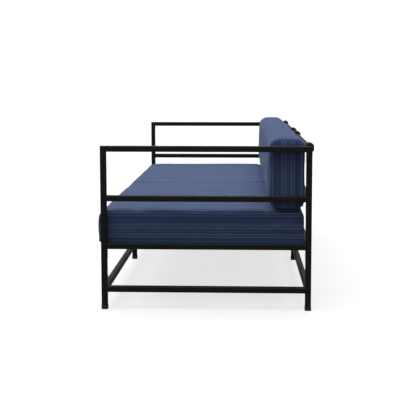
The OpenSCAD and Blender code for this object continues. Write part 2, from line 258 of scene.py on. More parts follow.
# ---------------------------------------------------------------- materials
class Graph:
    """The node tree of one material, with short calls that add and join nodes."""

    def __init__(self, name: str) -> None:
        """Starts a material that shows one Principled shader."""
        self.material = bpy.data.materials.new(name)
        self.material.use_nodes = True
        self.nodes = self.material.node_tree.nodes
        self.links = self.material.node_tree.links
        self.nodes.clear()
        self.shader = self.nodes.new("ShaderNodeBsdfPrincipled")
        output = self.nodes.new("ShaderNodeOutputMaterial")
        self.links.new(self.shader.outputs["BSDF"], output.inputs["Surface"])

    def feed(self, socket: bpy.types.NodeSocket, value: object) -> None:
        """Joins a socket to another, or sets its plain value."""
        if isinstance(value, bpy.types.NodeSocket):
            self.links.new(value, socket)
        else:
            socket.default_value = value

    def add(self, kind: str, inputs: dict[str, object], **settings: object) -> bpy.types.Node:
        """Adds a node.

        Args:
            kind: The node's type name.
            inputs: A value or a socket for each named input.
            **settings: The node's own properties.

        Returns:
            The new node.
        """
        node = self.nodes.new(kind)
        for name, value in settings.items():
            setattr(node, name, value)
        for name, value in inputs.items():
            self.feed(node.inputs[name], value)
        return node

    def finish(self, **inputs: object) -> None:
        """Feeds the Principled shader; underscores stand for spaces."""
        for name, value in inputs.items():
            self.feed(self.shader.inputs[name.replace("_", " ")], value)

    def math(self, operation: str, first: Source, second: Source = 0.0) -> bpy.types.NodeSocket:
        """The result of one Math node."""
        node = self.nodes.new("ShaderNodeMath")
        node.operation = operation
        self.feed(node.inputs[0], first)
        self.feed(node.inputs[1], second)
        return node.outputs[0]

    def place(self) -> bpy.types.NodeSocket:
        """The surface's place in the object's own frame, in metres."""
        return self.nodes.new("ShaderNodeTexCoord").outputs["Object"]

    def cloth(self) -> tuple[bpy.types.NodeSocket, bpy.types.NodeSocket, bpy.types.NodeSocket]:
        """The cloth's own map, and its distances across and along the yarn, in metres."""
        vector = self.add("ShaderNodeUVMap", {}, uv_map="cloth").outputs["UV"]
        parts = self.add("ShaderNodeSeparateXYZ", {"Vector": vector})
        return vector, parts.outputs["X"], parts.outputs["Y"]

    def stretch(self, vector: bpy.types.NodeSocket, scale: Colour) -> bpy.types.NodeSocket:
        """The vector scaled along each axis."""
        return self.add("ShaderNodeMapping", {"Vector": vector, "Scale": scale}).outputs[0]

    def noise(self, vector: bpy.types.NodeSocket, scale: float, detail: float = 3.0) -> bpy.types.NodeSocket:
        """Even noise from 0 to 1."""
        inputs = {"Vector": vector, "Scale": scale, "Detail": detail}
        return self.add("ShaderNodeTexNoise", inputs).outputs["Fac"]

    def between(self, value: bpy.types.NodeSocket, low: float, high: float) -> bpy.types.NodeSocket:
        """Noise near 0.5 spread over the range from low to high."""
        inputs = {"Value": value, "From Min": 0.3, "From Max": 0.7, "To Min": low, "To Max": high}
        return self.add("ShaderNodeMapRange", inputs).outputs["Result"]

    def mix(self, factor: Source, first: object, second: object, blend: str = "MIX") -> bpy.types.NodeSocket:
        """Two colours mixed by a factor."""
        node = self.nodes.new("ShaderNodeMix")
        node.data_type = "RGBA"
        node.blend_type = blend
        self.feed(node.inputs[0], factor)
        for socket, colour in ((node.inputs[6], first), (node.inputs[7], second)):
            self.feed(socket, (*colour, 1.0) if isinstance(colour, tuple) else colour)
        return node.outputs[2]

    def bump(self, height: bpy.types.NodeSocket, distance: float, strength: float = 1.0,
             normal: Union[bpy.types.NodeSocket, None] = None) -> bpy.types.NodeSocket:
        """A bumped normal.

        Args:
            height: The relief, from 0 to 1.
            distance: The relief's full height in metres.
            strength: How much of the bump shows.
            normal: A normal that this one is laid over.

        Returns:
            The normal's socket.
        """
        inputs = {"Height": height, "Distance": distance, "Strength": strength}
        if normal is not None:
            inputs["Normal"] = normal
        return self.add("ShaderNodeBump", inputs).outputs["Normal"]

    def weave(self, across: bpy.types.NodeSocket, along: bpy.types.NodeSocket,
              pitch: float) -> bpy.types.NodeSocket:
        """The relief of a plain weave, from 0 between the yarns to 1 on them."""
        waves = [self.math("ABSOLUTE", self.math("SINE", self.math("MULTIPLY", way, math.pi / pitch)))
                 for way in (across, along)]
        return self.math("MULTIPLY", *waves)


class Yarn(Enum):
    """The colours that the cushion cloth is woven from."""

    NAVY = (0.049, 0.087, 0.206)
    DEEP = (0.036, 0.065, 0.156)
    TEAL = (0.047, 0.112, 0.215)
    PLUM = (0.110, 0.082, 0.170)
    SLATE = (0.135, 0.180, 0.315)
    ROSE = (0.270, 0.200, 0.320)


@dataclass(frozen=True)
class StripedCloth:
    """Woven outdoor acrylic with narrow stripes, in widths of millimetres."""

    stripes: tuple[tuple[float, Yarn], ...] = (
        (3.5, Yarn.DEEP), (3.2, Yarn.ROSE), (3.0, Yarn.NAVY), (5.0, Yarn.TEAL), (2.6, Yarn.SLATE),
        (5.5, Yarn.TEAL), (6.0, Yarn.DEEP), (4.0, Yarn.NAVY), (3.0, Yarn.PLUM), (7.0, Yarn.DEEP),
        (4.5, Yarn.NAVY), (2.6, Yarn.PLUM), (4.0, Yarn.TEAL), (3.0, Yarn.SLATE), (4.5, Yarn.NAVY),
        (3.6, Yarn.PLUM), (4.0, Yarn.SLATE), (7.0, Yarn.NAVY), (3.0, Yarn.PLUM), (5.0, Yarn.TEAL),
        (4.0, Yarn.DEEP), (3.4, Yarn.PLUM), (3.0, Yarn.SLATE), (6.0, Yarn.NAVY), (4.0, Yarn.TEAL),
        (2.6, Yarn.SLATE), (9.0, Yarn.DEEP), (7.0, Yarn.NAVY), (5.0, Yarn.TEAL),
    )
    yarn_pitch: float = 1.1 * MM
    weave_depth: float = 0.22 * MM
    pucker_depth: float = 1.2 * MM
    wander: float = 0.8 * MM
    fuzz: float = 0.25

    def repeat(self) -> float:
        """The width of one whole set of stripes, in metres."""
        return sum(width for width, _ in self.stripes) * MM

    def stripe_colour(self, graph: Graph, across: bpy.types.NodeSocket) -> bpy.types.NodeSocket:
        """The colour of the stripe at a distance across the cloth.

        Args:
            graph: The tree to add to.
            across: The distance across the stripes, in metres.

        Returns:
            The colour's socket.
        """
        share = graph.math("FRACT", graph.math("DIVIDE", across, self.repeat()))
        node = graph.add("ShaderNodeValToRGB", {"Fac": share})
        node.color_ramp.interpolation = "CONSTANT"
        reached = 0.0
        for index, (width, yarn) in enumerate(self.stripes):
            elements = node.color_ramp.elements
            element = elements[0] if index == 0 else elements.new(reached * MM / self.repeat())
            element.color = (*yarn.value, 1.0)
            reached += width
        node.color_ramp.elements.remove(node.color_ramp.elements[-1])
        return node.outputs["Color"]

    def material(self, name: str) -> bpy.types.Material:
        """Builds the cloth's material."""
        graph = Graph(name)
        vector, across, along = graph.cloth()
        slub = graph.noise(graph.stretch(vector, (900.0, 45.0, 1.0)), scale=1.0, detail=2.0)
        cross_slub = graph.noise(graph.stretch(vector, (60.0, 900.0, 1.0)), scale=1.0, detail=2.0)
        wander = graph.math("MULTIPLY", graph.math("SUBTRACT", slub, 0.5), self.wander)
        colour = self.stripe_colour(graph, graph.math("ADD", across, wander))
        both_slubs = graph.math("MULTIPLY", graph.math("ADD", slub, cross_slub), 0.5)
        shade = graph.between(both_slubs, low=0.84, high=1.16)
        faded = graph.between(graph.noise(graph.place(), scale=5.0, detail=4.0), low=0.95, high=1.05)
        bands = graph.noise(graph.stretch(vector, (38.0, 0.7, 1.0)), scale=1.0, detail=2.0)
        faded = graph.math("MULTIPLY", faded, graph.between(bands, low=0.88, high=1.12))
        value = graph.math("MULTIPLY", shade, faded)
        tinted = graph.add("ShaderNodeHueSaturation", {"Color": colour, "Value": value}).outputs["Color"]
        relief = graph.weave(across, along, self.yarn_pitch)
        normal = graph.bump(relief, self.weave_depth, strength=0.8)
        puckers = graph.noise(graph.place(), scale=14.0, detail=3.0)
        graph.finish(
            Base_Color=tinted,
            Roughness=graph.between(cross_slub, low=0.80, high=0.92),
            Sheen_Weight=self.fuzz,
            Sheen_Roughness=0.45,
            Sheen_Tint=(0.62, 0.78, 1.0, 1.0),
            Specular_IOR_Level=0.25,
            Normal=graph.bump(puckers, self.pucker_depth, 0.6, normal),
        )
        return graph.material


@dataclass(frozen=True)
class PowderCoat:
    """Satin powder coat with a fine orange peel and faint handling marks."""

    colour: Colour = (0.008, 0.008, 0.0085)
    worn: Colour = (0.014, 0.014, 0.0145)
    roughness: tuple[float, float] = (0.30, 0.46)
    peel: float = 0.12 * MM
    grain: float = 0.02 * MM

    def material(self, name: str) -> bpy.types.Material:
        """Builds the coat's material."""
        graph = Graph(name)
        place = graph.place()
        rubbed = graph.between(graph.noise(place, scale=23.0, detail=5.0), low=0.0, high=1.0)
        streaks = graph.noise(graph.stretch(place, (6.0, 60.0, 60.0)), scale=1.0, detail=4.0)
        grain = graph.noise(place, scale=1400.0, detail=2.0)
        peel = graph.noise(place, scale=300.0, detail=2.0)
        normal = graph.bump(peel, self.peel, strength=0.8)
        graph.finish(
            Base_Color=graph.mix(rubbed, self.colour, self.worn),
            Roughness=graph.between(streaks, *self.roughness),
            Specular_IOR_Level=0.27,
            Normal=graph.bump(grain, self.grain, 0.4, normal),
        )
        return graph.material


@dataclass(frozen=True)
class MouldedPlastic:
    """Matt moulded plastic with a spark-eroded grain and scuffs."""

    colour: Colour = (0.018, 0.018, 0.019)
    scuffed: Colour = (0.045, 0.045, 0.045)
    grain: float = 0.08 * MM

    def material(self, name: str) -> bpy.types.Material:
        """Builds the plastic's material."""
        graph = Graph(name)
        place = graph.place()
        rubbed = graph.noise(graph.stretch(place, (40.0, 40.0, 220.0)), scale=1.0, detail=5.0)
        scuffs = graph.between(rubbed, low=0.0, high=0.7)
        sparks = graph.noise(place, scale=1900.0, detail=2.0)
        graph.finish(
            Base_Color=graph.mix(scuffs, self.colour, self.scuffed),
            Roughness=graph.between(scuffs, low=0.5, high=0.68),
            Normal=graph.bump(sparks, self.grain, strength=0.5),
        )
        return graph.material


@dataclass(frozen=True)
class PlatedSteel:
    """Plated steel hardware with fine turning lines and dull patches."""

    colour: Colour
    dull: Colour
    roughness: tuple[float, float] = (0.26, 0.42)
    line_depth: float = 0.02 * MM

    def material(self, name: str) -> bpy.types.Material:
        """Builds the plating's material."""
        graph = Graph(name)
        place = graph.place()
        patches = graph.between(graph.noise(place, scale=160.0, detail=5.0), low=0.0, high=1.0)
        lines = graph.noise(graph.stretch(place, (300.0, 300.0, 3000.0)), scale=1.0, detail=2.0)
        graph.finish(
            Base_Color=graph.mix(patches, self.colour, self.dull),
            Metallic=1.0,
            Roughness=graph.between(lines, *self.roughness),
            Normal=graph.bump(lines, self.line_depth, strength=0.5),
        )
        return graph.material


@dataclass(frozen=True)
class OpenCellFoam:
    """Cream upholstery foam with open cells, with painted shade sunk into each pore."""

    colour: Colour = (0.78, 0.70, 0.46)
    shaded_pore: Colour = (0.52, 0.45, 0.27)
    cells_per_metre: float = 650.0
    cell_depth: float = 0.6 * MM

    def material(self, name: str) -> bpy.types.Material:
        """Builds the foam's material."""
        graph = Graph(name)
        cells = graph.add("ShaderNodeTexVoronoi", {"Vector": graph.place(), "Scale": self.cells_per_metre})
        graph.finish(
            # Painted shade: the sunk middle of each cell is given the darker pore colour, as shade in the
            # hollow.
            Base_Color=graph.mix(cells.outputs["Distance"], self.shaded_pore, self.colour),
            Roughness=0.95,
            Normal=graph.bump(cells.outputs["Distance"], self.cell_depth, strength=0.8),
        )
        return graph.material


@dataclass(frozen=True)
class Webbing:
    """Woven narrow fabric: chevron webbing or zip tape, on the cloth's own map, with a painted highlight on
    the yarn crowns and painted shade between the yarns.
    """

    colour: Colour
    lit: Colour
    pitch: float = 1.3 * MM
    depth: float = 0.25 * MM
    yarns_per_chevron: float = 4.0
    slant: float = 0.9

    def material(self, name: str) -> bpy.types.Material:
        """Builds the narrow fabric's material."""
        graph = Graph(name)
        vector, across, along = graph.cloth()
        chevron = graph.math("PINGPONG", across, self.yarns_per_chevron * self.pitch)
        slanted = graph.math("ADD", along, graph.math("MULTIPLY", chevron, self.slant))
        relief = graph.weave(across, slanted, self.pitch)
        fibres = graph.noise(graph.stretch(vector, (2200.0, 160.0, 1.0)), scale=1.0, detail=3.0)
        # Painted light and shade: the lit colour is laid on the raised yarn crowns and the plain colour in
        # the gaps between yarns, following the weave's relief, with a random fibre tone on top.
        tone = graph.math("MULTIPLY", relief, graph.between(fibres, low=0.6, high=1.0))
        graph.finish(
            Base_Color=graph.mix(tone, self.colour, self.lit),
            Roughness=graph.between(fibres, low=0.62, high=0.78),
            Sheen_Weight=0.2,
            Sheen_Roughness=0.4,
            Normal=graph.bump(relief, self.depth, strength=0.9),
        )
        return graph.material


class Finishes:
    """Every finish, built once and given by the record's slot name."""

    def __init__(self) -> None:
        """Builds the finishes."""
        self.by_slot = {
            "frame_coat": PowderCoat().material("powder_coat"),
            "foot_cap": MouldedPlastic().material("cap_plastic"),
            "bolt": PlatedSteel((0.10, 0.10, 0.105), (0.05, 0.05, 0.052)).material("black_bolt_plating"),
            "insert_nut": PlatedSteel((0.72, 0.70, 0.62), (0.52, 0.50, 0.44)).material("zinc_plating"),
            "cushion_fabric": StripedCloth().material("striped_cloth"),
            "foam": OpenCellFoam().material("cushion_foam"),
            "zip_tape": Webbing((0.010, 0.016, 0.036), (0.040, 0.060, 0.120)).material("zip_tape_weave"),
            "zip_metal": PlatedSteel((0.12, 0.12, 0.13), (0.06, 0.06, 0.065)).material("zip_plating"),
            "webbing": Webbing((0.006, 0.006, 0.007), (0.034, 0.034, 0.037)).material("strap_weave"),
        }

    def dress(self, piece: bpy.types.Object, slot: str) -> None:
        """Gives a new piece the one finish of a slot."""
        piece.data.materials.clear()
        piece.data.materials.append(self.by_slot[slot])

    def dress_frame(self) -> None:
        """Gives every CAD node the finish of its own slot."""
        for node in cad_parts.values():
            for slot in node.material_slots:
                slot.material = self.by_slot[slot.material.name.split(".")[0]]


# ------------------------------------------------------------------- studio
@dataclass
class Studio:
    """The camera, the pale floor and the soft light.

    The gloss is how bright the surround is in a reflection, below and above. It changes from
    one to the other over gloss_rise, two sines of the angle above level.
    """

    camera_place: tuple[float, float, float] = (4.0255, 0.1439, 0.9436)
    pitch: float = 5.0
    yaw: float = -1.73
    lens: float = 66.81
    shift: tuple[float, float] = (-0.024, -0.1444)
    floor_size: float = 900.0
    floor_glow: float = 0.74
    fill: float = 0.14
    gloss: tuple[float, float] = (0.17, 0.42)
    gloss_rise: tuple[float, float] = (-0.08, 0.10)
    sensor: float = 36.0
    sight: float = 200.0

    def camera(self) -> None:
        """Sets the camera beside the sofa's left end, a little above its back."""
        data = bpy.data.cameras.new("camera")
        data.lens = self.lens
        data.sensor_width = self.sensor
        data.shift_x, data.shift_y = self.shift
        data.clip_end = self.sight
        camera = bpy.data.objects.new("camera", data)
        bpy.context.collection.objects.link(camera)
        camera.location = self.camera_place
        pitch, yaw = math.radians(self.pitch), math.radians(self.yaw)
        level = Vector((-math.cos(yaw), math.sin(yaw), 0.0)) * math.cos(pitch)
        self.aim(camera, level - Vector((0.0, 0.0, math.sin(pitch))))
        bpy.context.scene.camera = camera

    def aim(self, thing: bpy.types.Object, way: Vector) -> None:
        """Turns a camera or a light to face one way."""
        thing.rotation_mode = "QUATERNION"
        thing.rotation_quaternion = way.to_track_quat("-Z", "Y")

    def floor(self) -> None:
        """Lays a plain pale floor, which neither lights the sofa nor shows in its gloss."""
        deselect()
        bpy.ops.mesh.primitive_plane_add(size=self.floor_size)
        floor = settle(bpy.context.object, "floor")
        graph = Graph("floor_paint")
        tone = graph.between(graph.noise(graph.place(), scale=0.6, detail=2.0), low=0.30, high=0.32)
        graph.finish(
            Base_Color=tone, Roughness=0.9, Specular_IOR_Level=0.1,
            Emission_Color=(1.0, 1.0, 1.0, 1.0), Emission_Strength=self.floor_glow)
        floor.data.materials.append(graph.material)
        floor.visible_diffuse = False
        floor.visible_glossy = False

    def world(self) -> None:
        """Sets a surround that is white to the eye, fills the shade faintly and shows in gloss."""
        world = bpy.data.worlds.new("surround")
        world.use_nodes = True
        nodes, links = world.node_tree.nodes, world.node_tree.links
        nodes.clear()
        rays = nodes.new("ShaderNodeLightPath")
        shown = nodes.new("ShaderNodeBackground")
        fill = nodes.new("ShaderNodeBackground")
        gloss = nodes.new("ShaderNodeBackground")
        fill.inputs["Color"].default_value = (0.93, 0.96, 1.0, 1.0)
        fill.inputs["Strength"].default_value = self.fill
        shown.inputs["Color"].default_value = (1.0, 1.0, 1.0, 1.0)
        parts = nodes.new("ShaderNodeSeparateXYZ")
        links.new(nodes.new("ShaderNodeTexCoord").outputs["Generated"], parts.inputs[0])
        height = nodes.new("ShaderNodeMapRange")
        links.new(parts.outputs["Z"], height.inputs["Value"])
        limits = (*self.gloss_rise, *self.gloss)
        for name, value in zip(("From Min", "From Max", "To Min", "To Max"), limits):
            height.inputs[name].default_value = value
        links.new(height.outputs["Result"], gloss.inputs["Strength"])
        below = nodes.new("ShaderNodeMixShader")
        above = nodes.new("ShaderNodeMixShader")
        output = nodes.new("ShaderNodeOutputWorld")
        links.new(rays.outputs["Is Glossy Ray"], below.inputs[0])
        links.new(fill.outputs[0], below.inputs[1])
        links.new(gloss.outputs[0], below.inputs[2])
        links.new(rays.outputs["Is Camera Ray"], above.inputs[0])
        links.new(below.outputs[0], above.inputs[1])
        links.new(shown.outputs[0], above.inputs[2])
        links.new(above.outputs[0], output.inputs["Surface"])
        bpy.context.scene.world = world

    def light(self, name: str, strength: float, spread: float, way: tuple[float, float, float]) -> None:
        """Adds a broad, soft light.

        Args:
            name: The light's name.
            strength: Its strength.
            spread: How wide the source looks, in degrees.
            way: The way that its light travels.
        """
        data = bpy.data.lights.new(name, "SUN")
        data.energy = strength
        data.angle = math.radians(spread)
        light = bpy.data.objects.new(name, data)
        self.aim(light, Vector(way))
        bpy.context.collection.objects.link(light)

    def build(self) -> None:
        """Builds the whole studio."""
        self.camera()
        self.floor()
        self.world()
        self.light("overhead_softbox", strength=3.15, spread=80.0, way=(0.06, 0.18, -1.0))
        self.light("side_fill", strength=0.16, spread=60.0, way=(-1.0, 0.25, -0.45))
        bpy.context.scene.view_settings.view_transform = "Standard"


# ----------------------------------------------------------------- cushions
class Kind(Enum):
    """The two sorts of cushion."""

    SEAT = "seat"
    BACK = "back"


@dataclass
class Crown:
    """How far a cushion's cover stands past its sewn edges, by side, and the shape of its swell.

    A high power keeps the swell full until close to the edges along that axis. The simulated
    swelling is capped at loose outwards and at pull_in inwards, and rear_room is what the
    cover may use behind the cushion's own box.
    """

    top: float
    front: float
    rear: float
    powers: tuple[float, float, float]
    bottom: float = 0.0
    outer: float = 1.6 * MM
    inner: float = 0.0
    loose: float = 3.5 * MM
    pull_in: float = 2.5 * MM
    rear_room: float = 2.8 * MM
    meeting_power: float = 18.0


@dataclass(frozen=True)
class Folds:
    """The small folds beside a cushion's end seams and the slow unevenness of its cloth."""

    lengths: tuple[float, ...] = (17.0 * MM, 23.0 * MM, 31.0 * MM, 44.0 * MM)
    height: float = 0.30 * MM
    fade: float = 16.0 * MM
    from_seam: tuple[float, float] = (1.0 * MM, 7.0 * MM)
    waves: int = 10
    waves_per_metre: tuple[float, float, float] = (9.0, 9.0, 11.0)
    wave_height: float = 0.35 * MM
    off_base: tuple[float, float] = (1.0 * MM, 20.0 * MM)


@dataclass
class Cushion:
    """A box cushion: one wrap of cloth round foam, closed by an end panel at each end.

    The seam sizes place the sewn edges in the cover's box, and corner_radius goes round the
    cross-section from the top front corner, by way of the rear. Where a size is a pair of
    distances, a blend starts at one and ends at the other.
    """

    kind: Kind
    crown: Crown
    seam_drop: float
    seam_front: float
    seam_rear: float
    seam_lift: float
    corner_radius: tuple[float, float, float, float]
    cell: float
    pressure: float
    frames: int
    fill: float
    seed: int
    end_reach: float
    rest_gap: float
    meeting_gap: float = 0.7 * MM
    seam_inset: float = 1.4 * MM
    seam_row: float = 4.0 * MM
    end_stripe_start: float = 0.0
    overhang: float = 4.0 * MM
    end_room: float = 2.0 * MM
    fewest_cells: int = 4
    swell_rise: float = 30.0 * MM
    seam_rise: float = 25.0 * MM
    seam_crease: tuple[float, float] = (0.95, 0.60)
    past_last_slat: tuple[float, float] = (6.0 * MM, 45.0 * MM)
    past_front_rail: tuple[float, float] = (1.0 * MM, 12.0 * MM)
    droop_rise: float = 16.0 * MM
    before_back: tuple[float, float] = (55.0 * MM, 4.0 * MM)
    under_back: float = 0.5 * MM
    free_rise: float = 30.0 * MM
    zip_fade_along: tuple[float, float] = (28.0 * MM, 6.0 * MM)
    zip_fade_across: tuple[float, float] = (24.0 * MM, 4.0 * MM)
    folds: Folds = Folds()
    low: Vector = field(init=False)
    high: Vector = field(init=False)

    def __post_init__(self) -> None:
        """Reads the left cover's box from the frame."""
        self.low, self.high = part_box(f"{self.kind.value}_cover_left")

    def sewn_box(self) -> tuple[Vector, Vector]:
        """The lowest and highest corners of the sewn edges."""
        low = Vector((self.meeting_gap, self.low.y + self.seam_front, self.low.z + self.seam_lift))
        high = self.high + Vector((self.end_reach, -self.seam_rear, -self.seam_drop))
        return low, high

    def cells(self, length: float) -> int:
        """How many cells of the grid a length takes."""
        return max(self.fewest_cells, round(length / self.cell))

    def levels(self, low: float, high: float) -> np.ndarray:
        """Places of the grid's rows along one axis, with a narrow row beside each seam."""
        even = np.linspace(low, high, self.cells(high - low) + 1)
        even[1], even[-2] = low + self.seam_row, high - self.seam_row
        return even

    def grid(self) -> bpy.types.Object:
        """Makes the plain closed box of the cushion as an even grid of quads.

        Returns:
            The box, with its end outlines marked as seams.
        """
        low, high = self.sewn_box()
        counts = [self.cells(length) for length in high - low]
        deselect()
        bpy.ops.mesh.primitive_grid_add(x_subdivisions=counts[0], y_subdivisions=counts[1], size=1.0)
        form = bpy.context.object
        bpy.ops.object.mode_set(mode="EDIT")
        bpy.ops.mesh.select_all(action="SELECT")
        one_down = {"value": (0.0, 0.0, -1.0 / counts[2])}
        for _ in range(counts[2]):
            bpy.ops.mesh.extrude_region_move(TRANSFORM_OT_translate=one_down)
        bpy.ops.object.mode_set(mode="OBJECT")
        face_outwards(form)
        share = points_of(form.data) + np.array((0.5, 0.5, 1.0))
        steps = np.rint(share * counts).astype(int)
        points = np.empty_like(share)
        for axis in range(3):
            points[:, axis] = self.levels(low[axis], high[axis])[steps[:, axis]]
        at_end = (steps[:, 0] == 0) | (steps[:, 0] == counts[0])
        on_wrap = (steps[:, 1] % counts[1] == 0) | (steps[:, 2] % counts[2] == 0)
        set_points(form.data, self.crowned(points, self.rounded(points)))
        seam = at_end & on_wrap
        group = form.vertex_groups.new(name="seam")
        group.add([int(index) for index in np.flatnonzero(seam)], 1.0, "REPLACE")
        panel = form.data.attributes.new("end_panel", "FLOAT", "FACE")
        ends = [float(all(at_end[v] for v in face.vertices)) for face in form.data.polygons]
        panel.data.foreach_set("value", ends)
        return form

    def rounded(self, points: np.ndarray) -> np.ndarray:
        """Rounds the four long corners of the cross-section.

        Args:
            points: The box's points.

        Returns:
            The points with each corner's square drawn in to a quarter circle.
        """
        low, high = self.sewn_box()
        corners = ((low.y, high.z), (high.y, high.z), (high.y, low.z), (low.y, low.z))
        signs = ((-1, 1), (1, 1), (1, -1), (-1, -1))
        result = points.copy()
        for radius, corner, sign in zip(self.corner_radius, corners, signs):
            centre = np.array(corner) - radius * np.array(sign)
            out = (points[:, 1:] - centre) * np.array(sign)
            inside = (out > 0).all(axis=1)
            reach = np.hypot(out[inside, 0], out[inside, 1])
            square = out[inside].max(axis=1)
            drawn = out[inside] * (square / reach)[:, None]
            result[inside, 1:] = centre + drawn * np.array(sign)
        return result

    def crowned(self, flat: np.ndarray, points: np.ndarray) -> np.ndarray:
        """Swells the four sides of the wrap and the end panels past their sewn edges.

        Args:
            flat: The points of the plain box, which say where on a side each point lies.
            points: The same points with the long corners rounded.

        Returns:
            The points moved outwards.
        """
        low, high = self.sewn_box()
        share = 2.0 * (flat - np.array(low)) / np.array(high - low) - 1.0
        crown = self.crown
        rise = 1.0 - np.abs(share) ** np.array(crown.powers)
        meeting = 1.0 - np.abs(share[:, 0]) ** crown.meeting_power
        rise[:, 0] = np.where(share[:, 0] > 0, rise[:, 0], meeting)
        sides = ((crown.outer, crown.inner), (crown.rear, crown.front), (crown.top, crown.bottom))
        result = points.copy()
        for axis, (ahead, behind) in enumerate(sides):
            across = [rise[:, other] for other in range(3) if other != axis]
            full = across[0] * across[1] * np.abs(share[:, axis])
            result[:, axis] += full * np.where(share[:, axis] > 0, ahead, -behind)
        return result

    def inflate(self, form: bpy.types.Object) -> None:
        """Swells the cover by a cloth simulation and limits how far each side moves."""
        start = points_of(form.data)
        cloth = form.modifiers.new("swell", "CLOTH")
        settings = cloth.settings
        settings.quality = 5
        settings.mass = 0.3
        settings.tension_stiffness = 40.0
        settings.compression_stiffness = 40.0
        settings.shear_stiffness = 12.0
        settings.bending_stiffness = 1.2
        settings.use_pressure = True
        settings.uniform_pressure_force = self.pressure
        settings.effector_weights.gravity = 0.0
        cloth.point_cache.frame_start = 1
        cloth.point_cache.frame_end = self.frames
        for number in range(1, self.frames + 1):
            bpy.context.scene.frame_set(number)
        apply_modifiers(form)
        bpy.context.scene.frame_set(1)
        moved = points_of(form.data) - start
        set_points(form.data, start + self.limited(start, moved))

    def limited(self, start: np.ndarray, moved: np.ndarray) -> np.ndarray:
        """Caps the simulated swelling softly.

        Args:
            start: Where each point started.
            moved: How far the simulation moved it.

        Returns:
            How far each point is let move: less inwards than outwards, and not at all at the base.
        """
        low, high = self.sewn_box()
        side = np.sign(start - np.array(middle(low, high)))
        outward = moved * side
        crown = self.crown
        swollen = crown.loose * np.tanh(np.maximum(outward, 0.0) / crown.loose)
        drawn = crown.pull_in * np.tanh(np.maximum(-outward, 0.0) / crown.pull_in)
        free = ramp(start[:, 2], low.z, low.z + self.swell_rise)
        return (swollen - drawn) * side * free[:, None]

    def sew(self, form: bpy.types.Object) -> None:
        """Draws the end seams in, creases them and rounds the rest of the form."""
        mesh = form.data
        index = form.vertex_groups["seam"].index
        seam = np.array([any(g.group == index for g in v.groups) for v in mesh.vertices])
        crease = mesh.attributes.new("crease_edge", "FLOAT", "EDGE")
        normals = np.array([v.normal[:] for v in mesh.vertices])
        points = points_of(mesh)
        low, _ = self.sewn_box()
        lifted = ramp(points[:, 2], low.z, low.z + self.seam_rise)
        ends = np.array([e.vertices[:] for e in mesh.edges])
        at_base, above = self.seam_crease
        sharp = at_base - (at_base - above) * lifted[ends].mean(axis=1)
        crease.data.foreach_set("value", np.where(seam[ends].all(axis=1), sharp, 0.0))
        depth = self.seam_inset * lifted
        points[seam] -= normals[seam] * depth[seam][:, None]
        set_points(mesh, points)
        round_off = form.modifiers.new("round_off", "SUBSURF")
        round_off.levels = round_off.render_levels = 1
        apply_modifiers(form)

    def pucker(self, form: bpy.types.Object, seed: int) -> None:
        """Adds the small folds beside the seams and the cloth's slow unevenness.

        Args:
            form: The cushion to work on.
            seed: Chooses this cushion's own folds.
        """
        mesh = form.data
        mesh.update()
        points = points_of(mesh)
        normals = np.array([v.normal[:] for v in mesh.vertices])
        draw = np.random.default_rng(seed)
        low, high = points[:, 0].min(), points[:, 0].max()
        gap = np.minimum(points[:, 0] - low, high - points[:, 0])
        along = points[:, 1] + points[:, 2]
        turn = 2.0 * math.pi
        small = self.folds
        folds = np.zeros(len(points))
        for length in small.lengths:
            folds += np.sin(turn * along / length + draw.uniform(0.0, turn))
        folds *= small.height * np.exp(-gap / small.fade) * ramp(gap, *small.from_seam)
        swell = np.zeros(len(points))
        for _ in range(small.waves):
            wave = draw.normal(0.0, 1.0, 3) * np.array(small.waves_per_metre)
            swell += np.sin(points @ wave + draw.uniform(0.0, turn))
        swell *= small.wave_height * ramp(points[:, 2] - self.low.z, *small.off_base)
        points += normals * (folds + swell)[:, None]
        set_points(mesh, self.held(points))

    def held(self, points: np.ndarray) -> np.ndarray:
        """Keeps the cover off what it rests on and leans against.

        Args:
            points: The cover's points, for the left or the right cushion.

        Returns:
            The points held in at the bottom, the rear and the meeting end.
        """
        result = points.copy()
        room = self.crown.rear_room * (1.0 - self.near_zip(points))
        result[:, 1] = np.minimum(result[:, 1], self.high.y + room)
        result[:, 2] = np.maximum(result[:, 2], self.low.z + self.rest_gap)
        side = 1.0 if result[:, 0].mean() > 0 else -1.0
        furthest = self.high.x + self.end_reach + self.end_room
        result[:, 0] = side * np.clip(side * result[:, 0], self.meeting_gap, furthest)
        if self.kind is Kind.SEAT:
            result[:, 2] -= self.overhang * self.past_slats(result)
            result[:, 2] = np.minimum(result[:, 2], self.ceiling(result))
        return result

    def past_slats(self, points: np.ndarray) -> np.ndarray:
        """How freely each point hangs past the last slat and between the rails, from 0 to 1."""
        _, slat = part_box("seat_slats_left")
        _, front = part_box("front_seat_rail")
        outside = ramp(np.abs(points[:, 0]) - slat.x, *self.past_last_slat)
        between = ramp(points[:, 1] - front.y, *self.past_front_rail)
        return outside * between * ramp(self.low.z - points[:, 2], -self.droop_rise, 0.0)

    def ceiling(self, points: np.ndarray) -> np.ndarray:
        """How high the seat's top may stand at each point: just below the back cushion, under it."""
        back_low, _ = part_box("back_cover_left")
        start, end = self.before_back
        under = ramp(points[:, 1], back_low.y - start, back_low.y - end)
        return back_low.z - self.under_back + (1.0 - under) * self.free_rise

    def near_zip(self, points: np.ndarray) -> np.ndarray:
        """How near each point is to the zip's strip: 1 behind it, 0 well away from it."""
        low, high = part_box(f"{self.kind.value}_zip_left")
        along = within(np.abs(points[:, 0]), low.x, high.x, self.zip_fade_along)
        return along * within(points[:, 2], low.z, high.z, self.zip_fade_across)

